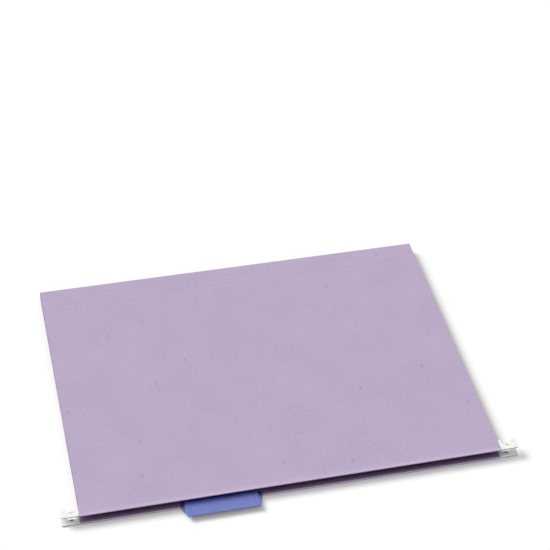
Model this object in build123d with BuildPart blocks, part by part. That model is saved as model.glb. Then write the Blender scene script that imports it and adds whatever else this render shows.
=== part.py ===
"""Letter-size hanging file folder.

It lies on its back panel with the hemmed mouth towards -Y and the base crease towards +Y. The origin is the
middle of the back panel's underside. One sheet of board makes both panels and the base strip. A hooked
steel rail runs in the hem of each panel, and a vinyl index tab is lugged into two slots of the back hem.
"""
import os

from build123d import *

# Board sheet
BOARD = 0.28  # 11 point board
PANEL_WIDTH = 298.5  # 11 3/4 in
PANEL_HEIGHT = 235.0  # 9 1/4 in, mouth edge to base
BASE_WIDTH = 8.72  # crease to crease
CREASE_GAP = 0.1  # room for the board to turn at a crease
SCORE_DEPTH = 0.1
SCORE_PITCH = 9.0
SCORE_COUNT = 2  # spare score lines on each panel, for a wider base

# Steel rail with a hook at each end
RAIL_THICK = 0.5
RAIL_WIDTH = 9.0
RAIL_PLAY = 0.04  # between rail and board
SHOULDER = 2.0  # full-width rail outside the panel
NOTCH_WIDTH = 7.3
BAR_DEPTH = 4.3  # steel left above the notch
PRONG_WIDTH = 3.4
PRONG_LENGTH = 8.0
HOOK_RADIUS = 1.1

# White plastic coat on each hook
TIP_COAT = 0.3
TIP_CHAMFER = 0.2
TIP_START = 0.4  # bare rail between panel and coat

# Hem flap, its slots and its glue line
SLOT_PITCH = 20.8
SLOT_LENGTH = 12.7
SLOT_WIDTH = 0.9
SLOT_SETBACK = 4.6  # mouth edge to slot
SLOT_MARGIN = 10.0  # side edge to the nearest slot, at least
SLOT_LAND = 1.2  # flat flap past the slots
HEM_RAMP = 2.5
GLUE_WIDTH = 4.0
GLUE_THICK = 0.1
GLUE_INSET = 3.0

# Vinyl index tab
TAB_STATION = -2.5  # tab middle, in slot pitches
TAB_WIDTH = 51.4
TAB_REACH = 12.5  # tab edge beyond the mouth edge, along the tab
TAB_TILT = 8.0  # degrees that the tab stands up from the hem at rest
TAB_FACE = 16.0  # length of the front leaf
TAB_GAPE = 6.0  # degrees between the leaves
TAB_BEND = 0.35  # inner radius of the fold
TAB_CORNER = 1.5
VINYL = 0.4
VINYL_REST = 0.05  # between tab and hem
EAR_WIDTH = 57.4  # widest across the ears
EAR_REACH = 2.0  # ears reach this far beyond the mouth edge
EAR_LENGTH = 4.0
EAR_ROUND = 1.2
FLEX_SETBACK = 5.0  # mouth edge to flex line
FLEX_GAP = 0.07
LUG_PLAY = 0.5
LUG_REACH = 6.0
LUG_CORNER = 1.5
TONGUE_PLAY = 0.08

# Paper slip in the tab
SLIP_WIDTH = 50.8
SLIP_HEIGHT = 15.6
SLIP_THICK = 0.2
SLIP_PLAY = 0.05

OVERRUN = 1.0  # cutters run this far past a face

# Heights of the creases, the hem and the tab
low_crease_z = BOARD / 2
middle_z = low_crease_z + BASE_WIDTH / 2
hem_pocket = RAIL_THICK + 2 * RAIL_PLAY
hem_thick = hem_pocket + 2 * BOARD
fold_radius = hem_thick / 2
rail_z = BOARD + RAIL_PLAY
glued_flap_z = BOARD + GLUE_THICK
leaf_z = hem_thick + VINYL_REST
flex_z = leaf_z + VINYL / 2
tongue_z = BOARD + TONGUE_PLAY
slip_z = leaf_z + VINYL + SLIP_PLAY

# Stations from the mouth edge to the base
mouth_y = -PANEL_HEIGHT / 2
crease_y = PANEL_HEIGHT / 2 - BOARD / 2
rail_near_y = mouth_y + fold_radius
rail_far_y = rail_near_y + RAIL_WIDTH
slot_near_y = mouth_y + SLOT_SETBACK
slot_far_y = slot_near_y + SLOT_LENGTH
ramp_y = slot_far_y + SLOT_LAND
glue_y = ramp_y + HEM_RAMP
hem_end_y = glue_y + GLUE_WIDTH
flex_y = mouth_y + FLEX_SETBACK
lug_near_y = rail_far_y + LUG_PLAY
lug_far_y = slot_far_y - LUG_PLAY
tab_outer_bend = TAB_BEND + VINYL
tab_edge_y = mouth_y - TAB_REACH
bend_y = tab_edge_y + tab_outer_bend
ear_y = mouth_y - EAR_REACH

# Stations across the width
half_width = PANEL_WIDTH / 2
shoulder_x = half_width + SHOULDER
prong_x = shoulder_x + NOTCH_WIDTH
hook_end_x = prong_x + PRONG_WIDTH
slots_each_side = int((half_width - SLOT_MARGIN) / SLOT_PITCH + 0.5)
tab_x = TAB_STATION * SLOT_PITCH
tab_half = TAB_WIDTH / 2
ear_half = EAR_WIDTH / 2
lug_wall_x = SLOT_PITCH - VINYL / 2
lug_out_x = SLOT_PITCH + VINYL / 2

side_plane = Plane.YZ.offset(-half_width)
middle_plane = Plane.XY.offset(middle_z)
tab_plane = Plane.YZ.offset(tab_x)
flex_axis = Axis((tab_x, flex_y, flex_z), (-1, 0, 0))

os.makedirs("parts", exist_ok=True)


def save(builder, name):
    builder.part.label = name
    export_step(builder.part, "parts/" + name + ".step")


def mirrored(builder, about, name):
    with BuildPart() as copy:
        mirror(builder.part, about=about)
    save(copy, name)
    return copy


def tilted(builder, name):
    with BuildPart() as copy:
        add(builder.part.rotate(flex_axis, TAB_TILT))
    save(copy, name)


# Back panel: one folded section, scored on its outer face, then the slots through its hem flap
with BuildPart() as back_panel:
    with BuildSketch(side_plane):
        with BuildLine():
            Line((crease_y, 0), (rail_near_y, 0))
            ThreePointArc((rail_near_y, 0), (mouth_y, fold_radius), (rail_near_y, hem_thick))
            Polyline(
                (rail_near_y, hem_thick),
                (ramp_y, hem_thick),
                (glue_y, glued_flap_z + BOARD),
                (hem_end_y, glued_flap_z + BOARD),
            )
            offset(amount=BOARD, side=Side.RIGHT, kind=Kind.INTERSECTION)
        make_face()
        with Locations((crease_y, low_crease_z)):
            Circle(BOARD / 2 + CREASE_GAP, mode=Mode.SUBTRACT)
        with Locations(*[(crease_y - turn * SCORE_PITCH, 0) for turn in range(1, SCORE_COUNT + 1)]):
            RegularPolygon(SCORE_DEPTH, 4, mode=Mode.SUBTRACT)
    extrude(amount=PANEL_WIDTH)
    with BuildSketch(Plane.XY.offset(fold_radius)):
        with Locations((0, (slot_near_y + slot_far_y) / 2)):
            with GridLocations(SLOT_PITCH, 0, 2 * slots_each_side, 1):
                SlotOverall(SLOT_LENGTH, SLOT_WIDTH, rotation=90)
    extrude(amount=fold_radius + OVERRUN, mode=Mode.SUBTRACT)
save(back_panel, "back_panel")

# Base strip: stands between the creases, and its round edges turn in the ends of the panels
with BuildPart() as base_strip:
    with BuildSketch(side_plane):
        with Locations((crease_y, middle_z)):
            SlotCenterToCenter(BASE_WIDTH, BOARD, rotation=90)
        with Locations((crease_y + BOARD / 2, middle_z)):
            RegularPolygon(SCORE_DEPTH, 4, mode=Mode.SUBTRACT)
    extrude(amount=PANEL_WIDTH)
save(base_strip, "base_strip")

# Steel rail: half of the hooked outline is drawn, then mirrored
with BuildSketch() as rail_outline:
    with BuildLine():
        Polyline(
            (0, rail_near_y),
            (hook_end_x, rail_near_y),
            (hook_end_x, rail_near_y + PRONG_LENGTH),
            (prong_x, rail_near_y + PRONG_LENGTH),
            (prong_x, rail_near_y + BAR_DEPTH),
            (shoulder_x, rail_near_y + BAR_DEPTH),
            (shoulder_x, rail_far_y),
            (0, rail_far_y),
            close=True,
        )
    make_face()
    fillet(rail_outline.vertices().filter_by(lambda corner: corner.X > half_width), HOOK_RADIUS)
    mirror(about=Plane.YZ)

with BuildPart() as back_rail:
    with BuildSketch(Plane.XY.offset(rail_z)):
        add(rail_outline.sketch)
    extrude(amount=RAIL_THICK)
save(back_rail, "back_rail")

# Plastic coat: the hook's outline grown by the coat, with the steel taken out
with BuildPart() as back_right_tip:
    with BuildSketch(Plane.XY.offset(rail_z - TIP_COAT)):
        add(rail_outline.sketch)
        offset(amount=TIP_COAT)
        with Locations((half_width + TIP_START, rail_near_y - OVERRUN)):
            Rectangle(
                hook_end_x - half_width + OVERRUN,
                RAIL_WIDTH + 2 * OVERRUN,
                align=(Align.MIN, Align.MIN),
                mode=Mode.INTERSECT,
            )
    extrude(amount=RAIL_THICK + 2 * TIP_COAT)
    chamfer(back_right_tip.faces().filter_by(Axis.Z).edges(), TIP_CHAMFER)
    add(back_rail.part, mode=Mode.SUBTRACT)
save(back_right_tip, "back_right_tip")

# Glue line under the end of the hem flap
with BuildPart() as back_glue:
    with BuildSketch(Plane.XY.offset(BOARD)):
        with Locations((0, (glue_y + hem_end_y) / 2)):
            Rectangle(PANEL_WIDTH - 2 * GLUE_INSET, GLUE_WIDTH)
    extrude(amount=GLUE_THICK)
save(back_glue, "back_glue")

# The front half is the back half mirrored across the middle of the base strip
back_left_tip = mirrored(back_right_tip, Plane.YZ, "back_left_tip")
mirrored(back_panel, middle_plane, "front_panel")
mirrored(back_rail, middle_plane, "front_rail")
mirrored(back_right_tip, middle_plane, "front_right_tip")
mirrored(back_left_tip, middle_plane, "front_left_tip")
mirrored(back_glue, middle_plane, "front_glue")

# Tab anchor: a base on the hem flap, and two lugs that drop through slots and spread under the flap
with BuildPart() as tab_anchor:
    with BuildSketch(Plane.XY.offset(leaf_z)) as anchor_base:
        with Locations((tab_x, flex_y)):
            Rectangle(2 * lug_out_x, slot_far_y - flex_y, align=(Align.CENTER, Align.MIN))
        fillet(anchor_base.vertices().group_by(Axis.Y)[-1], LUG_CORNER)
    extrude(amount=VINYL)
    with BuildSketch(Plane.XY.offset(tongue_z)) as lug_wall:
        with Locations((tab_x + lug_wall_x, (lug_near_y + lug_far_y) / 2)):
            Rectangle(VINYL, lug_far_y - lug_near_y, align=(Align.MIN, Align.CENTER))
    extrude(amount=leaf_z - tongue_z)
    with BuildSketch(Plane.XY.offset(tongue_z)) as tongue:
        with Locations((tab_x + lug_wall_x, (lug_near_y + lug_far_y) / 2)):
            Rectangle(VINYL + LUG_REACH, lug_far_y - lug_near_y, align=(Align.MIN, Align.CENTER))
        fillet(tongue.vertices().group_by(Axis.X)[-1], LUG_CORNER)
    extrude(amount=hem_pocket - 2 * TONGUE_PLAY)
    mirror(about=tab_plane)
    with BuildSketch(tab_plane.offset(-lug_out_x)):
        with Locations((flex_y, flex_z)):
            Circle(VINYL / 2 + FLEX_GAP)
    extrude(amount=2 * lug_out_x, mode=Mode.SUBTRACT)
save(tab_anchor, "tab_anchor")

# Tab sleeve, drawn flat on the hem: front leaf and fold, the eared back leaf with a round edge on the flex line,
# then the rounded corners of the folded edge
with BuildPart() as flat_sleeve:
    with BuildSketch(tab_plane.offset(-tab_half)):
        with BuildLine():
            fold = JernArc((bend_y, leaf_z), (-1, 0), tab_outer_bend, TAB_GAPE - 180)
            PolarLine(fold @ 1, TAB_FACE, TAB_GAPE)
            offset(amount=VINYL, side=Side.RIGHT)
        make_face()
    extrude(amount=TAB_WIDTH)
    free_edge = flat_sleeve.faces().sort_by(Axis.Y)[-1]
    fillet(free_edge.edges().sort_by(SortBy.LENGTH)[:2], TAB_CORNER)
    with BuildSketch(Plane.XY.offset(leaf_z)) as back_leaf:
        with BuildLine():
            Polyline(
                (tab_x, bend_y),
                (tab_x + tab_half, bend_y),
                (tab_x + tab_half, tab_edge_y + TAB_CORNER),
                (tab_x + ear_half, ear_y),
                (tab_x + ear_half, ear_y + EAR_LENGTH),
                (tab_x + tab_half, flex_y),
                (tab_x, flex_y),
                close=True,
            )
        make_face()
        fillet(back_leaf.vertices().filter_by(lambda corner: corner.X > tab_x + tab_half), EAR_ROUND)
        mirror(about=tab_plane)
    extrude(amount=VINYL)
    with BuildSketch(tab_plane.offset(-tab_half)):
        with Locations((flex_y, flex_z)):
            Circle(VINYL / 2)
    extrude(amount=TAB_WIDTH)
    with BuildSketch(Plane.XY.offset(leaf_z - OVERRUN)):
        with Locations((tab_x, tab_edge_y)):
            Rectangle(TAB_WIDTH, TAB_CORNER, align=(Align.CENTER, Align.MIN))
            RectangleRounded(
                TAB_WIDTH, TAB_FACE, TAB_CORNER, align=(Align.CENTER, Align.MIN), mode=Mode.SUBTRACT
            )
    extrude(amount=2 * (tab_outer_bend + OVERRUN), mode=Mode.SUBTRACT)
tilted(flat_sleeve, "tab_sleeve")

# Paper slip between the leaves of the tab
with BuildPart() as flat_insert:
    with BuildSketch(Plane.XY.offset(slip_z)):
        with Locations((tab_x, bend_y)):
            Rectangle(SLIP_WIDTH, SLIP_HEIGHT, align=(Align.CENTER, Align.MIN))
    extrude(amount=SLIP_THICK)
tilted(flat_insert, "tab_insert")
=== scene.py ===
"""Looks of a letter-size hanging file folder, dressed over its solids, in metres.

The folder lies on its back panel with the mouth towards -Y. Its one piece of board is two bent sheets that
meet on the middle of the base strip, and each bends across one crease. The vinyl index tab bends at its flex
line, and the hook tips have coats with round edges. The rails, the glue lines and the paper slip are the
solids themselves, each with a finish of its own.
"""
import math

import bmesh
import bpy
from mathutils import Matrix, Vector
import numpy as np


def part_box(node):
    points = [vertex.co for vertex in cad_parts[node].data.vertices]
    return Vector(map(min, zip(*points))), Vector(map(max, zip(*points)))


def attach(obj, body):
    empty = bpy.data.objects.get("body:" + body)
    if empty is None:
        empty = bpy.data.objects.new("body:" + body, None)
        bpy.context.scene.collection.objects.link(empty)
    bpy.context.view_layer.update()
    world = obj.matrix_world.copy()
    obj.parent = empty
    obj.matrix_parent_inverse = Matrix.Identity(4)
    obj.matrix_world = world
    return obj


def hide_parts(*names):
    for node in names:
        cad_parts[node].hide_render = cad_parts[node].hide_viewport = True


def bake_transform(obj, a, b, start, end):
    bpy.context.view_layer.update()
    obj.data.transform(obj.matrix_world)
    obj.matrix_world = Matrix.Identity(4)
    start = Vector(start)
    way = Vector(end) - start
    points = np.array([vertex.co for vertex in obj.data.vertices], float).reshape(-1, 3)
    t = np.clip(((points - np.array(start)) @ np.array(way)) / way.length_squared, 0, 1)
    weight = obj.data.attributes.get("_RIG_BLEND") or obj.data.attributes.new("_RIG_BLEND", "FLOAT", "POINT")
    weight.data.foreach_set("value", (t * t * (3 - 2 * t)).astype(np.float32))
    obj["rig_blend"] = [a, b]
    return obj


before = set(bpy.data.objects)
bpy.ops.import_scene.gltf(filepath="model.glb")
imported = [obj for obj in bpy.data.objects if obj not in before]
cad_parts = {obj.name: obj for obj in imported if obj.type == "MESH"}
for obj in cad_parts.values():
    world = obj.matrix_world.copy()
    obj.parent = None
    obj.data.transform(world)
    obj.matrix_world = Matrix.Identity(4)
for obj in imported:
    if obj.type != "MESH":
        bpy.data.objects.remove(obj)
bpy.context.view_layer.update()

# Camera
CAMERA_AZIMUTH = -13.279
CAMERA_ELEVATION = 40.339
CAMERA_ROLL = 1.027
CAMERA_DISTANCE = 1.3487
CAMERA_TARGET = (0.03679, 0.11103, 0.0)
CAMERA_LENS = 110.74

# Lamps, with their lean from overhead and their spread in degrees
KEY = {"lean_left": 30.0, "lean_back": 5.0, "spread": 50.0, "strength": 1.97}
BACK_FILL = {"lean_left": 20.0, "lean_back": 74.0, "spread": 60.0, "strength": 0.65}
FLOOR_LAMP = {"lean_left": 38.0, "lean_back": 29.0, "spread": 30.0, "strength": 2.7}

# Sky, brightest overhead and weighted to the front left
SKY_TOP = 1.33
SKY_FALL = 4.0
SKY_LEFT = 0.6
SKY_FRONT = 0.85

# Floor: its glow is the share of its white that it gives off by itself, which lifts the shadows
FLOOR_SIZE = 8.0
FLOOR_DROP = 0.0001
FLOOR_MOTTLE = 0.4
FLOOR_LOW = 0.95
FLOOR_HIGH = 0.96
FLOOR_ROUGHNESS = 0.9
FLOOR_BOUNCE = 0.35
FLOOR_GLOW = 0.17
WHITE = (1.0, 1.0, 1.0)

# Board shape
CREASE_RADIUS = 0.0005
CREASE_BEND = 0.0012
CREASE_ROWS = 6
FOLD_ROWS = 8
STRIP_ROWS = 3
PANEL_ROWS = 34
FLAP_ROWS = 3
SCORE_PITCH = 0.009
SCORE_COUNT = 2
SCORE_HALF = 0.0008
SCORE_DEPTH = 0.00006
SLOT_PITCH = 0.0208
SLOT_LENGTH = 0.0127
SLOT_WIDTH = 0.0009
SLOT_SETBACK = 0.0046
SLOTS_EACH_SIDE = 7
COLUMNS_PER_SLOT = 3
HEM_RAMP = 0.0025
BOARD_EDGE_ROUND = 0.00005
WAVE_HEIGHT = 0.0003
WAVE_LENGTHS = (0.19, 0.27, 0.16)

# Board finish: tones, factors on a tone, strengths and sizes, and pairs of where a change starts and is full
OUTSIDE_TONE = (0.46, 0.375, 0.53)
CUT_TONE = (0.41, 0.335, 0.465)
# The inside and flap tones are darker copies of the board's tone: painted shade on the folder's inside faces
# and its hem flaps
INSIDE_SHADE_TONE = (0.37, 0.28, 0.44)
FLAP_SHADE_TONE = (0.3, 0.2, 0.36)
DYE_LOW = 0.93
DYE_HIGH = 1.07
FLECK_SHADE = 0.6
# The score factor paints shade along the score lines
SCORE_PAINTED_SHADE = 0.85
# The worn factor lightens rubbed creases and side edges, and along the mouth fold it is partly rubbed wear
# and partly a painted highlight
WEAR_AND_HIGHLIGHT_SHADE = 1.22
# The rim factor paints a highlight on the edge of the hem fold
RIM_HIGHLIGHT_SHADE = 1.6
FLECK_STRENGTH = 0.45
# The score strength sets how deep the painted shade on the score lines is
SCORE_SHADE_STRENGTH = 0.3
# The haze strength sets a broad lightening by the mouth, partly rubbed wear and partly a painted highlight
HAZE_HIGHLIGHT_STRENGTH = 0.3
CREASE_STRENGTH = 0.4
SIDE_STRENGTH = 0.25
CLOUD_SIZE = 0.035
PULP_SIZE = 0.003
FIBRE_SIZE = 0.0005
FIBRE_STRETCH = (0.3, 1.0, 1.0)
RUB_SIZE = 0.003
RUB_STRETCH = (0.15, 1.0, 1.0)
FLECK_PITCH = 0.024
FLECK_RADIUS = 0.0015
FLECK_STRETCH = (1.0, 0.5, 1.0)
FLECK_CHANCE = (0.2, 0.9)
# Where the painted shade of the hem flaps starts and is full
FLAP_SHADE_START = 0.0002
FLAP_SHADE_FULL = 0.001
# Where the lighter band along the mouth fold, partly rubbed wear and partly a painted highlight, starts and
# is full
MOUTH_WEAR_AND_HIGHLIGHT = (0.0036, 0.0008)
MOUTH_HAZE_HIGHLIGHT = (0.009, 0.002)
MOUTH_WEAR_AND_HIGHLIGHT_END = (-0.001, 0.0)
CREASE_WEAR = 0.0009
SIDE_WEAR = 0.0012
# Place and reach of the painted highlight on the hem fold's edge
RIM_PLACE = 0.0002
RIM_HIGHLIGHT_REACH = 0.0008
BOARD_GRAIN = 0.00004

# Index tab shape
VINYL = 0.0004
TAB_WIDTH = 0.0514
TAB_REACH = 0.0125
TAB_TILT = 8.0
TAB_FACE = 0.016
TAB_GAPE = 6.0
TAB_CORNER = 0.0015
TAB_BEND = 0.00055
EAR_REACH = 0.002
EAR_LENGTH = 0.004
EAR_ROUND = 0.0012
FLEX_SETBACK = 0.005
FLEX_REACH = 0.0004
FLEX_STEPS = (-1, -0.5, 0, 0.5, 1)
LUG_PLAY = 0.0005
LUG_REACH = 0.0062
LUG_CORNER = 0.0015
VINYL_EDGE_ROUND = 0.0001

# Vinyl finish
VINYL_DEEP = (0.03, 0.09, 0.52)
VINYL_PALE = (0.07, 0.15, 0.66)
WELD_TONE = (0.3, 0.4, 0.85)
# The ear tone is painted shade: a deeper violet for the ears
EAR_SHADE_TONE = (0.05, 0.03, 0.3)
FLOW_SIZE = 0.004
FLOW_STRETCH = (0.12, 1.0, 1.0)
RIPPLE_SIZE = 0.009
WELD_PLACES = (0.0009, 0.0035)
WELD_REACH = 0.0003
WELD_STRENGTH = 0.35
# Reach of the ears' painted shade
EAR_SHADE_FADE = 0.0008
VINYL_GRAIN = 0.00006

# Hook coat shape
COAT = 0.0003
SHOULDER = 0.002
NOTCH_WIDTH = 0.0073
BAR_DEPTH = 0.0043
PRONG_LENGTH = 0.008
HOOK_RADIUS = 0.0011
COAT_EDGE_ROUND = 0.00034

# Coat finish
COAT_TONE = (0.88, 0.88, 0.87)
SOILED_TONE = (0.8, 0.795, 0.78)
# Painted shade on the notch seats of the hooks
SEAT_SHADE_TONE = (0.1, 0.1, 0.105)
SOIL_SIZE = 0.003
PEEL_SIZE = 0.0011
SEAT_ACROSS = 0.0026
SEAT_ALONG = 0.003
COAT_GRAIN = 0.00005
COAT_IOR = 1.49

# Finishes of the rails, the glue lines and the slip
STEEL_DARK = (0.36, 0.37, 0.39)
STEEL_BRIGHT = (0.46, 0.47, 0.49)
STREAK_SIZE = 0.0006
STREAK_STRETCH = (0.02, 1.0, 1.0)
BLOOM_SIZE = 0.006
STEEL_GRAIN = 0.00002
GLUE_AMBER = (0.72, 0.66, 0.55)
GLUE_PALE = (0.85, 0.82, 0.74)
FILM_SIZE = 0.004
GLUE_GRAIN = 0.00004
SLIP_DEEP = (0.3, 0.335, 0.61)
SLIP_PALE = (0.34, 0.375, 0.68)
SLIP_PULP_SIZE = 0.0008
COCKLE_SIZE = 0.008
SLIP_GRAIN = 0.00003

# Making, with the grain of the finer noises and the range that noise mostly keeps to
CORNER_SEGMENTS = 5
SHEET_EDGE_SEGMENTS = 2
COAT_EDGE_SEGMENTS = 4
SHARP_ANGLE = 50.0
CUT_TOLERANCE = 1e-7
FINE = {"detail": 3.0, "roughness": 0.6}
NOISE_RANGE = (0.3, 0.7)

# Places read from the solids
panel_low, panel_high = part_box("back_panel")
strip_low, strip_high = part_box("base_strip")
rail_low, rail_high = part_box("back_rail")
glue_low, glue_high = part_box("back_glue")
tip_low, tip_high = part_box("back_right_tip")
anchor_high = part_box("tab_anchor")[1]
sleeve_low, sleeve_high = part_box("tab_sleeve")

board = strip_high.y - strip_low.y
half_width = panel_high.x
mouth_y = panel_low.y
crease_y = (strip_low.y + strip_high.y) / 2
middle_z = (strip_low.z + strip_high.z) / 2
panel_mid = board / 2
fold_mid = panel_high.z / 2
flap_mid = panel_high.z - board / 2
glued_mid = glue_high.z + board / 2
slot_near_y = mouth_y + SLOT_SETBACK
slot_far_y = slot_near_y + SLOT_LENGTH
ramp_y = glue_low.y - HEM_RAMP
tab_x = (sleeve_low.x + sleeve_high.x) / 2
leaf_mid = anchor_high.z - VINYL / 2
flex_y = mouth_y + FLEX_SETBACK
tab_edge_y = mouth_y - TAB_REACH
notch_bottom_y = rail_low.y + BAR_DEPTH + COAT

# Runs along the board from the middle of the base strip to its crease, its scores and its mouth
strip_run = middle_z - panel_mid - CREASE_RADIUS
crease_run = strip_run + CREASE_RADIUS * math.pi / 4
score_run = strip_run + CREASE_RADIUS * (math.pi / 2 - 1)
mouth_run = strip_run + CREASE_RADIUS * math.pi / 2 + crease_y - CREASE_RADIUS - mouth_y - fold_mid
mouth_run += (fold_mid - panel_mid) * math.pi / 2


def tint(tone, factor=1.0):
    """An opaque colour: a tone, made darker or lighter by a factor."""
    return tuple(factor * value for value in tone) + (1.0,)


class Wire:
    """An output socket of a node tree. Arithmetic on it adds Math nodes, and add() makes any other node."""

    def __init__(self, tree, socket=None):
        self.tree = tree
        self.socket = socket

    def add(self, kind, settings=None, sockets=None, output=0):
        """Add a node: its settings first, then a value or a link for each socket, by identifier."""
        node = self.tree.nodes.new("ShaderNode" + kind)
        for name, value in (settings or {}).items():
            setattr(node, name, value)
        self.feed(node, sockets or {})
        outputs = {socket.identifier: socket for socket in node.outputs}
        return Wire(self.tree, outputs[output] if isinstance(output, str) else node.outputs[output])

    def feed(self, node, sockets):
        """Link a wire to a socket, or set a value on it, by identifier."""
        inputs = {socket.identifier: socket for socket in node.inputs}
        for name, value in sockets.items():
            if isinstance(value, Wire):
                self.tree.links.new(value.socket, inputs[name])
            else:
                inputs[name].default_value = value

    def maths(self, operation, first, second=0.0):
        return self.add("Math", {"operation": operation}, {"Value": first, "Value_001": second})

    def __add__(self, other):
        return self.maths("ADD", self, other)

    __radd__ = __add__

    def __sub__(self, other):
        return self.maths("SUBTRACT", self, other)

    def __rsub__(self, other):
        return self.maths("SUBTRACT", other, self)

    def __mul__(self, other):
        return self.maths("MULTIPLY", self, other)

    __rmul__ = __mul__

    def __abs__(self):
        return self.maths("ABSOLUTE", self)

    def ease(self, start, stop):
        """0 at start and 1 at stop, with a smooth way between."""
        settings = {"interpolation_type": "SMOOTHSTEP"}
        return self.add("MapRange", settings, {"Value": self, "From Min": start, "From Max": stop}, "Result")

    def near(self, place, reach):
        """1 at a place, fading smoothly to 0 at its reach on either side."""
        return abs(self - place).ease(reach, 0.0)

    def mix(self, first, second):
        """The first colour where this is 0, the second where it is 1."""
        sockets = {"Factor_Float": self, "A_Color": first, "B_Color": second}
        return self.add("Mix", {"data_type": "RGBA"}, sockets, "Result_Color")

    def tones(self, first, second):
        """Two colours, spread over the range that noise mostly keeps to."""
        return self.ease(*NOISE_RANGE).mix(first, second)

    def noise(self, size, detail=2.0, roughness=0.5, stretch=(1.0, 1.0, 1.0)):
        """Noise with features of a size in metres, read at this vector."""
        place = self.add("Mapping", {}, {"Vector": self, "Scale": stretch})
        sockets = {"Vector": place, "Scale": 1 / size, "Detail": detail, "Roughness": roughness}
        return self.add("TexNoise", {}, sockets, "Fac")

    def shown(self):
        """1 on rays that show a thing, straight or by gloss or glass, and 0 on rays that light others."""
        camera, gloss, glass = [
            self.add("LightPath", output=f"Is {kind} Ray") for kind in ("Camera", "Glossy", "Transmission")
        ]
        return self.maths("MINIMUM", camera + gloss + glass, 1.0)

    def part(self, axis):
        return self.add("SeparateXYZ", {}, {"Vector": self}, axis)


def new_finish(name, on_sheet=False):
    """A material with a bare shader, and the wire of its places: in the frame, or along a sheet."""
    material = bpy.data.materials.new(name)
    material.use_nodes = True
    start = Wire(material.node_tree)
    if on_sheet:
        return material, start.add("UVMap", {"uv_map": "sheet"})
    return material, start.add("TexCoord", output="Object")


def dress(material, colour, roughness, height=None, depth=0.0, **others):
    """Feed the shader: links for what varies, and plain values for what is the same all over."""
    start = Wire(material.node_tree)
    sockets = {"Base Color": colour, "Roughness": roughness}
    if height is not None:
        sockets["Normal"] = start.add("Bump", {}, {"Distance": depth, "Height": height})
    for name, value in others.items():
        sockets[name.replace("_", " ")] = value
    start.feed(material.node_tree.nodes["Principled BSDF"], sockets)
    return material


def flecks(place):
    """Sparse specks, a little drawn out along the sheet and some fainter than others."""
    spread = place.add("Mapping", {}, {"Vector": place, "Scale": FLECK_STRETCH})
    sockets = {"Vector": spread, "Scale": 1 / FLECK_PITCH}
    distance = place.add("TexVoronoi", {"voronoi_dimensions": "2D"}, sockets, "Distance")
    chance = place.add("TexVoronoi", {"voronoi_dimensions": "2D"}, sockets, "Color").part("X")
    return distance.ease(FLECK_RADIUS / FLECK_PITCH, 0.0) * chance.ease(*FLECK_CHANCE)


def board_finish(name, tone):
    """Dyed board: cloudy dye, fine fibres, sparse dark flecks, and painted shade on the hem flaps.

    Its creases and side edges are rubbed lighter. Along the mouth fold it is lighter, partly from rubbed
    wear and partly from painted highlight, and a painted highlight lies on the hem fold's edge. Its score
    lines carry painted shade.
    """
    material, place = new_finish(name, on_sheet=True)
    across = abs(place.part("X"))
    run = abs(place.part("Y"))
    from_mouth = mouth_run - run
    cloud = place.noise(CLOUD_SIZE, detail=3.0, roughness=0.55)
    pulp = place.noise(PULP_SIZE, **FINE)
    fibre = place.noise(FIBRE_SIZE, roughness=0.6, stretch=FIBRE_STRETCH)
    rub = place.noise(RUB_SIZE, stretch=RUB_STRETCH, **FINE)
    shade = 0.28 * cloud + 0.47 * pulp + 0.25 * fibre
    colour = shade.tones(tint(tone, DYE_LOW), tint(tone, DYE_HIGH))
    colour = (FLECK_STRENGTH * flecks(place)).mix(colour, tint(tone, FLECK_SHADE))
    # Painted shade: the hem flaps take a darker tone
    flap = run.ease(mouth_run + FLAP_SHADE_START, mouth_run + FLAP_SHADE_FULL)
    colour = flap.mix(colour, tint(FLAP_SHADE_TONE))
    # Lighter along the mouth fold, partly rubbed wear and partly a painted highlight; creases and side edges
    # rubbed lighter
    wear_and_highlight = from_mouth.ease(*MOUTH_WEAR_AND_HIGHLIGHT) * (0.5 + 0.7 * rub)
    wear_and_highlight = wear_and_highlight + HAZE_HIGHLIGHT_STRENGTH * from_mouth.ease(*MOUTH_HAZE_HIGHLIGHT) * rub
    wear_and_highlight = wear_and_highlight * from_mouth.ease(*MOUTH_WEAR_AND_HIGHLIGHT_END)
    wear_and_highlight = wear_and_highlight + CREASE_STRENGTH * run.near(crease_run, CREASE_WEAR) * (0.4 + 0.8 * rub)
    wear_and_highlight = wear_and_highlight + SIDE_STRENGTH * across.near(half_width, SIDE_WEAR) * rub
    colour = wear_and_highlight.mix(colour, tint(tone, WEAR_AND_HIGHLIGHT_SHADE))
    # Painted highlight on the edge of the hem fold
    rim = run.near(mouth_run + RIM_PLACE, RIM_HIGHLIGHT_REACH) * (0.6 + 0.6 * rub)
    colour = rim.mix(colour, tint(tone, RIM_HIGHLIGHT_SHADE))
    # Painted shade along the score lines
    for turn in range(1, SCORE_COUNT + 1):
        score_shade = run.near(score_run + turn * SCORE_PITCH, SCORE_HALF)
        colour = (SCORE_SHADE_STRENGTH * score_shade).mix(colour, tint(tone, SCORE_PAINTED_SHADE))
    height = 0.6 * fibre + 0.4 * pulp
    return dress(material, colour, 0.74 + 0.16 * fibre, height, BOARD_GRAIN, Specular_IOR_Level=0.3)


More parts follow.
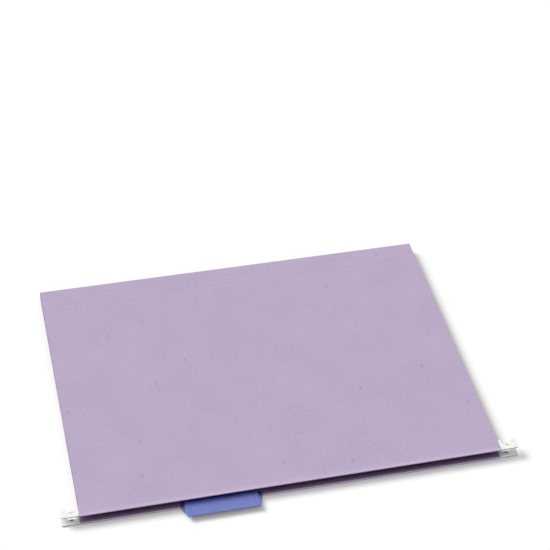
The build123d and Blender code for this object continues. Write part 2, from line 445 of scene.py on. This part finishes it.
def vinyl_finish():
    """Tinted vinyl: glossy and mostly clear, with faint flow streaks, cloudier welds, and painted shade on
    the ears, which are deeper violet and less clear.
    """
    material, place = new_finish("tinted_vinyl", on_sheet=True)
    streak = place.noise(FLOW_SIZE, stretch=FLOW_STRETCH)
    ripple = place.noise(RIPPLE_SIZE)
    from_end = TAB_WIDTH / 2 - abs(place.part("X") - tab_x)
    outer, inner = [from_end.near(weld_place, WELD_REACH) for weld_place in WELD_PLACES]
    weld = outer + inner
    # Painted shade: the ears take a deeper violet and are less clear
    ear = from_end.ease(0.0, -EAR_SHADE_FADE)
    colour = (0.5 * streak + 0.5 * ripple).tones(tint(VINYL_DEEP), tint(VINYL_PALE))
    colour = (WELD_STRENGTH * weld).mix(colour, tint(WELD_TONE))
    colour = ear.mix(colour, tint(EAR_SHADE_TONE))
    clouding_and_ear_shade = 0.15 + 0.03 * ripple + 0.2 * weld + 0.18 * ear
    gloss = 0.26 + 0.12 * streak
    height = ripple + 0.4 * weld
    return dress(material, colour, gloss, height, VINYL_GRAIN, Alpha=clouding_and_ear_shade, Specular_IOR_Level=0.4)


def coat_finish():
    """Dipped white plastic: satin, softly uneven, faintly soiled, with painted shade on the notch seats,
    deeper on the lower hooks.
    """
    material, place = new_finish("white_coat")
    soil = place.noise(SOIL_SIZE, **FINE)
    peel = place.noise(PEEL_SIZE)
    colour = soil.ease(0.35, 0.75).mix(tint(COAT_TONE), tint(SOILED_TONE))
    # Painted shade on the notch seats, deeper on the lower hooks
    seat = abs(place.part("X")).near(half_width + SHOULDER + NOTCH_WIDTH / 2, SEAT_ACROSS)
    seat = seat * place.part("Y").near(notch_bottom_y, SEAT_ALONG)
    seat_shade = seat.ease(0.1, 0.6) * (0.6 + 0.4 * soil.ease(0.3, 0.5))
    lower = place.part("Z").ease(2 * middle_z, 0.0)
    seat_shade = seat_shade * (0.4 + 0.6 * lower)
    colour = seat_shade.mix(colour, tint(SEAT_SHADE_TONE))
    return dress(material, colour, 0.32 + 0.15 * soil, peel, COAT_GRAIN, IOR=COAT_IOR)


def steel_finish():
    """Cold-rolled strip: streaks along its length."""
    material, place = new_finish("rail_steel")
    streak = place.noise(STREAK_SIZE, stretch=STREAK_STRETCH, **FINE)
    bloom = place.noise(BLOOM_SIZE, detail=3.0)
    colour = bloom.tones(tint(STEEL_DARK), tint(STEEL_BRIGHT))
    return dress(material, colour, 0.4 + 0.22 * streak, streak, STEEL_GRAIN, Metallic=1.0)


def glue_finish():
    """Dried glue: pale amber with a cloudy film."""
    material, place = new_finish("dried_glue")
    film = place.noise(FILM_SIZE, **FINE)
    colour = film.tones(tint(GLUE_AMBER), tint(GLUE_PALE))
    return dress(material, colour, 0.35 + 0.3 * film, film, GLUE_GRAIN)


def slip_finish():
    """Blue writing paper: fine pulp and a faint cockle."""
    material, place = new_finish("slip_paper")
    pulp = place.noise(SLIP_PULP_SIZE, **FINE)
    cockle = place.noise(COCKLE_SIZE)
    colour = pulp.tones(tint(SLIP_DEEP), tint(SLIP_PALE))
    return dress(material, colour, 0.8 + 0.1 * pulp, pulp + 2.0 * cockle, SLIP_GRAIN)


def only_edges(items):
    return [item for item in items if isinstance(item, bmesh.types.BMEdge)]


def only_verts(items):
    return [item for item in items if isinstance(item, bmesh.types.BMVert)]


def pull_edges(mesh, row, step):
    """Pull a row of edges out by a step, and return the new row."""
    made = bmesh.ops.extrude_edge_only(mesh, edges=row)["geom"]
    verts = only_verts(made)
    bmesh.ops.translate(mesh, verts=verts, vec=step)
    return [edge for edge in only_edges(made) if all(vert in verts for vert in edge.verts)]


class Strip:
    """A sheet drawn row by row: each row of edges is pulled out of the last one, straight or bent."""

    def __init__(self, mesh, row, y, z):
        self.mesh = mesh
        self.run_layer = mesh.verts.layers.float["run"]
        self.row = row
        self.y = y
        self.z = z

    def keep(self, row, y, z, length):
        """Take a new row as the last one, and note its run along the sheet."""
        run = self.row[0].verts[0][self.run_layer] + length
        self.row = row
        self.y = y
        self.z = z
        for edge in row:
            for vert in edge.verts:
                vert[self.run_layer] = run

    def pull(self, y, z, rows=1):
        """Straight on to a place, in equal rows."""
        step = Vector((0, y - self.y, z - self.z)) / rows
        for _ in range(rows):
            row = pull_edges(self.mesh, self.row, step)
            self.keep(row, self.y + step.y, self.z + step.z, step.length)

    def bend(self, y, z, degrees, rows):
        """Round a centre by an angle about X."""
        radius = math.hypot(self.y - y, self.z - z)
        angle = math.radians(degrees) / rows
        for _ in range(rows):
            made = bmesh.ops.spin(
                self.mesh,
                geom=self.row,
                cent=(0, y, z),
                axis=(1, 0, 0),
                angle=angle,
                steps=1,
                use_merge=False,
            )["geom_last"]
            arm = Matrix.Rotation(angle, 3, "X") @ Vector((0, self.y - y, self.z - z))
            self.keep(only_edges(made), y + arm.y, z + arm.z, abs(angle) * radius)


def new_sheet():
    """An empty bmesh whose vertices note their run along the sheet."""
    mesh = bmesh.new()
    mesh.verts.layers.float.new("run")
    return mesh


def place_vert(mesh, x, y, z):
    return bmesh.ops.create_vert(mesh, co=(x, y, z))["vert"][0]


def outline_face(mesh, points, z):
    """One flat face through a few corners, which are returned."""
    corners = [place_vert(mesh, x, y, z) for x, y in points]
    mesh.faces.new(corners)
    return corners


def round_outline(mesh, corners, radius):
    bmesh.ops.bevel(
        mesh,
        geom=corners,
        offset=radius,
        segments=CORNER_SEGMENTS,
        profile=0.5,
        affect="VERTICES",
        material=-1,
    )


def cut_across(mesh, axis, places):
    """Cut every face of a mesh at some places along an axis."""
    normal = Vector((axis == "X", axis == "Y", axis == "Z"))
    for place in places:
        geometry = mesh.verts[:] + mesh.edges[:] + mesh.faces[:]
        bmesh.ops.bisect_plane(
            mesh, geom=geometry, dist=CUT_TOLERANCE, plane_co=normal * place, plane_no=normal
        )


def flip_to_front(mesh):
    """Mirror a piece of the back half across the middle of the base strip."""
    about = Matrix.Translation((0, 0, -middle_z))
    bmesh.ops.scale(mesh, vec=(1, 1, -1), space=about, verts=mesh.verts[:])


def unwrap(mesh, sign=1.0):
    """A UV map in metres: across the sheet, and along it."""
    run_layer = mesh.verts.layers.float["run"]
    layer = mesh.loops.layers.uv.new("sheet")
    for face in mesh.faces:
        for loop in face.loops:
            loop[layer].uv = (loop.vert.co.x, sign * loop.vert[run_layer])


def make_piece(mesh, name, *finishes):
    """A smooth-shaded object at the origin from a finished bmesh."""
    data = bpy.data.meshes.new(name)
    mesh.to_mesh(data)
    mesh.free()
    data.shade_smooth()
    for finish in finishes:
        data.materials.append(finish)
    piece = bpy.data.objects.new(name, data)
    bpy.context.scene.collection.objects.link(piece)
    return piece


def thicken(piece, thickness, edge_round, rim_slot=0, back_slot=0):
    """Give a sheet its thickness about its middle, and break its cut edges."""
    wall = piece.modifiers.new("thickness", "SOLIDIFY")
    wall.thickness = thickness
    wall.offset = 0.0
    wall.use_even_offset = True
    wall.use_quality_normals = True
    wall.material_offset_rim = rim_slot
    wall.material_offset = back_slot
    soften(piece, edge_round, SHEET_EDGE_SEGMENTS)


def soften(piece, width, segments):
    """Round the sharp edges of a piece."""
    edge = piece.modifiers.new("edge", "BEVEL")
    edge.width = width
    edge.segments = segments
    edge.limit_method = "ANGLE"
    edge.angle_limit = math.radians(SHARP_ANGLE)
    edge.harden_normals = True


def board_half():
    """Middle surface of half the board, from the base strip's middle to the end of the hem flap."""
    mesh = new_sheet()
    ends = [place_vert(mesh, x, crease_y, middle_z) for x in (-half_width, half_width)]
    row = bmesh.ops.contextual_create(mesh, geom=ends)["edges"]
    sheet = Strip(mesh, row, crease_y, middle_z)
    sheet.pull(crease_y, panel_mid + CREASE_RADIUS, STRIP_ROWS)
    sheet.bend(crease_y - CREASE_RADIUS, panel_mid + CREASE_RADIUS, -90, CREASE_ROWS)
    for turn in range(1, SCORE_COUNT + 1):
        score_y = crease_y - turn * SCORE_PITCH
        sheet.pull(score_y + SCORE_HALF, panel_mid, 2)
        sheet.pull(score_y, panel_mid + SCORE_DEPTH)
        sheet.pull(score_y - SCORE_HALF, panel_mid)
    sheet.pull(mouth_y + fold_mid, panel_mid, PANEL_ROWS)
    sheet.bend(mouth_y + fold_mid, fold_mid, -180, FOLD_ROWS)
    sheet.pull(slot_near_y, flap_mid)
    sheet.pull(slot_far_y, flap_mid, FLAP_ROWS)
    sheet.pull(ramp_y, flap_mid)
    sheet.pull(glue_low.y, glued_mid)
    sheet.pull(glue_high.y, glued_mid)
    return mesh


def slot_stations():
    return [(turn + 0.5) * SLOT_PITCH for turn in range(-SLOTS_EACH_SIDE, SLOTS_EACH_SIDE)]


def column_stations():
    """Where the board is cut into columns: both sides of each slot, and evenly between the slots."""
    first = -SLOTS_EACH_SIDE * COLUMNS_PER_SLOT
    stations = [turn * SLOT_PITCH / COLUMNS_PER_SLOT for turn in range(first, 1 - first)]
    for slot_x in slot_stations():
        stations += [slot_x - SLOT_WIDTH / 2, slot_x + SLOT_WIDTH / 2]
    return stations


def open_slots(mesh):
    """Take the slots out of the hem flap."""
    opened = []
    for face in mesh.faces:
        middle = face.calc_center_median()
        on_flap = middle.z > fold_mid and slot_near_y < middle.y < slot_far_y
        if on_flap and any(abs(middle.x - x) < SLOT_WIDTH / 2 for x in slot_stations()):
            opened.append(face)
    bmesh.ops.delete(mesh, geom=opened, context="FACES")


def wave_panel(mesh):
    """Let the panel lie a little unevenly between its hem and its score lines."""
    near_y = glue_high.y
    far_y = crease_y - (SCORE_COUNT + 1) * SCORE_PITCH
    long_x, short_x, long_y = WAVE_LENGTHS
    for vert in mesh.verts:
        x, y, z = vert.co
        if z < fold_mid and near_y < y < far_y:
            share = math.sin(math.pi * (y - near_y) / (far_y - near_y)) ** 2
            swell = math.sin(math.tau * x / long_x + 1) + math.sin(math.tau * (x / short_x + y / long_y))
            vert.co.z += WAVE_HEIGHT * share * (2 + swell) / 4


def board_sheet(name, sign):
    """One sheet of the folder: the back one with a sign of 1, or the front one with a sign of -1."""
    mesh = board_half()
    cut_across(mesh, "X", column_stations())
    open_slots(mesh)
    wave_panel(mesh)
    unwrap(mesh, sign)
    if sign < 0:
        flip_to_front(mesh)
    bmesh.ops.recalc_face_normals(mesh, faces=mesh.faces[:])
    piece = make_piece(mesh, name, lavender, lavender_edge, lavender_inside_shaded)
    thicken(piece, board, BOARD_EDGE_ROUND, rim_slot=1, back_slot=2)
    return piece


def index_tab():
    """One vinyl moulding: a base with two lugs, a flex line, a back leaf with ears, a fold, a front leaf."""
    tab_half = TAB_WIDTH / 2
    ear_half = (sleeve_high.x - sleeve_low.x) / 2
    bend_y = tab_edge_y + TAB_BEND + VINYL / 2
    base_corner = (SLOT_PITCH, slot_far_y)
    base_end = (SLOT_PITCH, flex_y)
    leaf_start = (tab_half, flex_y)
    ear_top = (ear_half, mouth_y - EAR_REACH + EAR_LENGTH)
    ear_bottom = (ear_half, mouth_y - EAR_REACH)
    leaf_corner = (tab_half, tab_edge_y + TAB_CORNER)
    bend_end = (tab_half, bend_y)
    right_side = [base_corner, base_end, leaf_start, ear_top, ear_bottom, leaf_corner, bend_end]
    mesh = new_sheet()
    outline = [(tab_x + x, y) for x, y in right_side]
    outline += [(tab_x - x, y) for x, y in reversed(right_side)]
    corners = outline_face(mesh, outline, leaf_mid)
    right = corners[:len(right_side)]
    left = corners[:len(right_side) - 1:-1]
    bend_edge = mesh.edges.get((right[-1], left[-1]))
    ear = right_side.index(ear_top)
    round_outline(mesh, [right[0], left[0]], LUG_CORNER)
    round_outline(mesh, right[ear:ear + 2] + left[ear:ear + 2], EAR_ROUND)
    lug_near_y = rail_high.y + LUG_PLAY
    lug_far_y = slot_far_y - LUG_CORNER
    flex_rows = [flex_y + step * FLEX_REACH for step in FLEX_STEPS]
    cut_across(mesh, "Y", flex_rows + [lug_near_y, lug_far_y])
    for vert in mesh.verts:
        vert[mesh.verts.layers.float["run"]] = flex_y - vert.co.y
    drop_lugs(mesh, lug_near_y, lug_far_y)
    leaf = Strip(mesh, [bend_edge], bend_y, leaf_mid)
    leaf.bend(bend_y, leaf_mid + TAB_BEND, TAB_GAPE - 180, FOLD_ROWS)
    gape = math.radians(TAB_GAPE)
    leaf.pull(leaf.y + TAB_FACE * math.cos(gape), leaf.z + TAB_FACE * math.sin(gape), FLAP_ROWS)
    round_outline(mesh, list(leaf.row[0].verts), TAB_CORNER)
    round_folded_corners(mesh, tab_half)
    unwrap(mesh)
    tilt_tab(mesh)
    bmesh.ops.recalc_face_normals(mesh, faces=mesh.faces[:])
    piece = make_piece(mesh, "index_tab", vinyl)
    thicken(piece, VINYL, VINYL_EDGE_ROUND)
    return piece


def drop_lugs(mesh, near_y, far_y):
    """At each side of the base, a lug that drops through its slot and spreads under the hem flap."""
    for side in (-1, 1):
        wall_x = tab_x + side * SLOT_PITCH
        row = []
        for edge in mesh.edges:
            middle = (edge.verts[0].co + edge.verts[1].co) / 2
            if abs(middle.x - wall_x) < LUG_PLAY and near_y < middle.y < far_y and edge.is_boundary:
                row.append(edge)
        row = pull_edges(mesh, row, (0, 0, fold_mid - leaf_mid))
        row = pull_edges(mesh, row, (side * LUG_REACH, 0, 0))
        round_outline(mesh, list(row[0].verts), LUG_CORNER)


def round_folded_corners(mesh, tab_half):
    """Draw the ends of the fold in to a round corner, seen from above."""
    for vert in mesh.verts:
        inset = TAB_CORNER - (vert.co.y - tab_edge_y)
        offset = vert.co.x - tab_x
        if inset > 0 and abs(offset) > tab_half - TAB_CORNER:
            reach = tab_half - TAB_CORNER + math.sqrt(TAB_CORNER ** 2 - min(inset, TAB_CORNER) ** 2)
            vert.co.x = tab_x + math.copysign(reach, offset)


def tilt_tab(mesh):
    """Turn the flat tab up about its flex line, by a growing angle across the flex rows."""
    for vert in mesh.verts:
        share = (flex_y + FLEX_REACH - vert.co.y) / (2 * FLEX_REACH)
        angle = math.radians(-TAB_TILT) * min(max(share, 0.0), 1.0)
        turn = Matrix.Rotation(angle, 3, "X")
        bmesh.ops.rotate(mesh, cent=(0, flex_y, leaf_mid), matrix=turn, verts=[vert])


def hook_tip(name, side, panel):
    """Plastic coat on one hook: the hook's outline with round corners, a thickness and soft edges."""
    near_y = tip_low.y
    prong_y = rail_low.y + PRONG_LENGTH + COAT
    shoulder_x = half_width + SHOULDER
    notch_x = shoulder_x + COAT
    prong_x = shoulder_x + NOTCH_WIDTH - COAT
    outline = (
        (tip_low.x, near_y),
        (tip_high.x, near_y),
        (tip_high.x, prong_y),
        (prong_x, prong_y),
        (prong_x, notch_bottom_y),
        (notch_x, notch_bottom_y),
        (notch_x, tip_high.y),
        (tip_low.x, tip_high.y),
    )
    mesh = bmesh.new()
    corners = outline_face(mesh, outline, tip_low.z)
    round_outline(mesh, corners[1:-1], HOOK_RADIUS)
    grown = bmesh.ops.extrude_face_region(mesh, geom=mesh.faces[:])["geom"]
    bmesh.ops.translate(mesh, verts=only_verts(grown), vec=(0, 0, tip_high.z - tip_low.z))
    bmesh.ops.scale(mesh, vec=(side, 1, 1), verts=mesh.verts[:])
    if panel == "front":
        flip_to_front(mesh)
    bmesh.ops.recalc_face_normals(mesh, faces=mesh.faces[:])
    piece = make_piece(mesh, name, white_coat)
    soften(piece, COAT_EDGE_ROUND, COAT_EDGE_SEGMENTS)
    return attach(piece, panel)


def finish_node(node, finish):
    """Give a solid that stays as it is a finish of its own."""
    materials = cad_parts[node].data.materials
    materials.clear()
    materials.append(finish)


def add_camera():
    azimuth = math.radians(CAMERA_AZIMUTH)
    elevation = math.radians(CAMERA_ELEVATION)
    level = math.cos(elevation)
    back = Vector((math.sin(azimuth) * level, -math.cos(azimuth) * level, math.sin(elevation)))
    data = bpy.data.cameras.new("camera")
    data.lens = CAMERA_LENS
    camera = bpy.data.objects.new("camera", data)
    place = Matrix.Translation(Vector(CAMERA_TARGET) + back * CAMERA_DISTANCE)
    turn = back.to_track_quat("Z", "Y").to_matrix().to_4x4()
    camera.matrix_world = place @ turn @ Matrix.Rotation(math.radians(CAMERA_ROLL), 4, "Z")
    bpy.context.scene.collection.objects.link(camera)
    bpy.context.scene.camera = camera


def add_floor():
    """A pale floor that shows white, and reflects less light than that on to the folder."""
    material, place = new_finish("floor_paper")
    seen = place.shown()
    level = 1 - FLOOR_GLOW
    white = place.noise(FLOOR_MOTTLE).mix(tint(WHITE, FLOOR_LOW * level), tint(WHITE, FLOOR_HIGH * level))
    colour = seen.mix(tint(WHITE, FLOOR_BOUNCE), white)
    glow = seen.mix(tint(WHITE, 0.0), tint(WHITE))
    dress(
        material,
        colour,
        FLOOR_ROUGHNESS,
        Specular_IOR_Level=0.0,
        Emission_Color=glow,
        Emission_Strength=FLOOR_GLOW,
    )
    mesh = bmesh.new()
    bmesh.ops.create_grid(mesh, x_segments=1, y_segments=1, size=FLOOR_SIZE / 2)
    bmesh.ops.translate(mesh, verts=mesh.verts[:], vec=(0, 0, -FLOOR_DROP))
    floor = make_piece(mesh, "floor", material)
    return floor


def add_lamp(name, floor, reach, lean_left, lean_back, spread, strength):
    """A soft distant lamp. Its reach is INCLUDE to light the floor alone, or EXCLUDE to leave it out."""
    lamp = bpy.data.lights.new(name, "SUN")
    lamp.energy = strength
    lamp.angle = math.radians(spread)
    piece = bpy.data.objects.new(name, lamp)
    lean = Vector((-math.tan(math.radians(lean_left)), math.tan(math.radians(lean_back)), 1.0))
    piece.rotation_euler = lean.to_track_quat("Z", "Y").to_euler()
    bpy.context.scene.collection.objects.link(piece)
    lit = bpy.data.collections.new(name + "_reach")
    lit.objects.link(floor)
    lit.collection_objects[0].light_linking.link_state = reach
    piece.light_linking.receiver_collection = lit


def add_lights(floor):
    """An overhead key and low back fill for the folder, a lamp for the floor, and a sky that shows white."""
    add_lamp("key", floor, "EXCLUDE", **KEY)
    add_lamp("back_fill", floor, "EXCLUDE", **BACK_FILL)
    add_lamp("floor_lamp", floor, "INCLUDE", **FLOOR_LAMP)
    world = bpy.data.worlds.new("surround")
    world.use_nodes = True
    bpy.context.scene.world = world
    start = Wire(world.node_tree)
    seen = start.shown()
    towards = start.add("TexCoord", output="Generated")
    overhead = start.maths("POWER", towards.part("Z"), SKY_FALL)
    side = 1 - SKY_LEFT * towards.part("X") - SKY_FRONT * towards.part("Y")
    strength = seen + (1 - seen) * SKY_TOP * overhead * side
    start.feed(world.node_tree.nodes["Background"], {"Color": tint(WHITE), "Strength": strength})


bpy.context.scene.view_settings.view_transform = "Standard"
add_camera()
add_lights(add_floor())

lavender = board_finish("lavender_board", OUTSIDE_TONE)
lavender_edge = board_finish("lavender_cut_edge", CUT_TONE)
# The inside faces get a darker copy of the board: painted shade
lavender_inside_shaded = board_finish("lavender_inside_shaded", INSIDE_SHADE_TONE)
vinyl = vinyl_finish()
white_coat = coat_finish()
steel = steel_finish()
glue = glue_finish()
slip_paper = slip_finish()

back_sheet = board_sheet("back_sheet", 1)
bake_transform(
    back_sheet, "back", "base", start=(0, crease_y - CREASE_BEND, 0), end=(0, crease_y, CREASE_BEND)
)
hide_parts("back_panel", "base_strip")
front_sheet = board_sheet("front_sheet", -1)
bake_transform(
    front_sheet,
    "base",
    "front",
    start=(0, crease_y, 2 * middle_z - CREASE_BEND),
    end=(0, crease_y - CREASE_BEND, 2 * middle_z),
)
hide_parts("front_panel")

tab = index_tab()
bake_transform(tab, "back", "tab", start=(0, flex_y + FLEX_REACH, 0), end=(0, flex_y - FLEX_REACH, 0))
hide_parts("tab_anchor", "tab_sleeve")

for panel in ("back", "front"):
    for side, word in ((-1, "left"), (1, "right")):
        tip = hook_tip(f"{panel}_{word}_coat", side, panel)
        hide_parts(f"{panel}_{word}_tip")
    finish_node(f"{panel}_rail", steel)
    finish_node(f"{panel}_glue", glue)
finish_node("tab_insert", slip_paper)
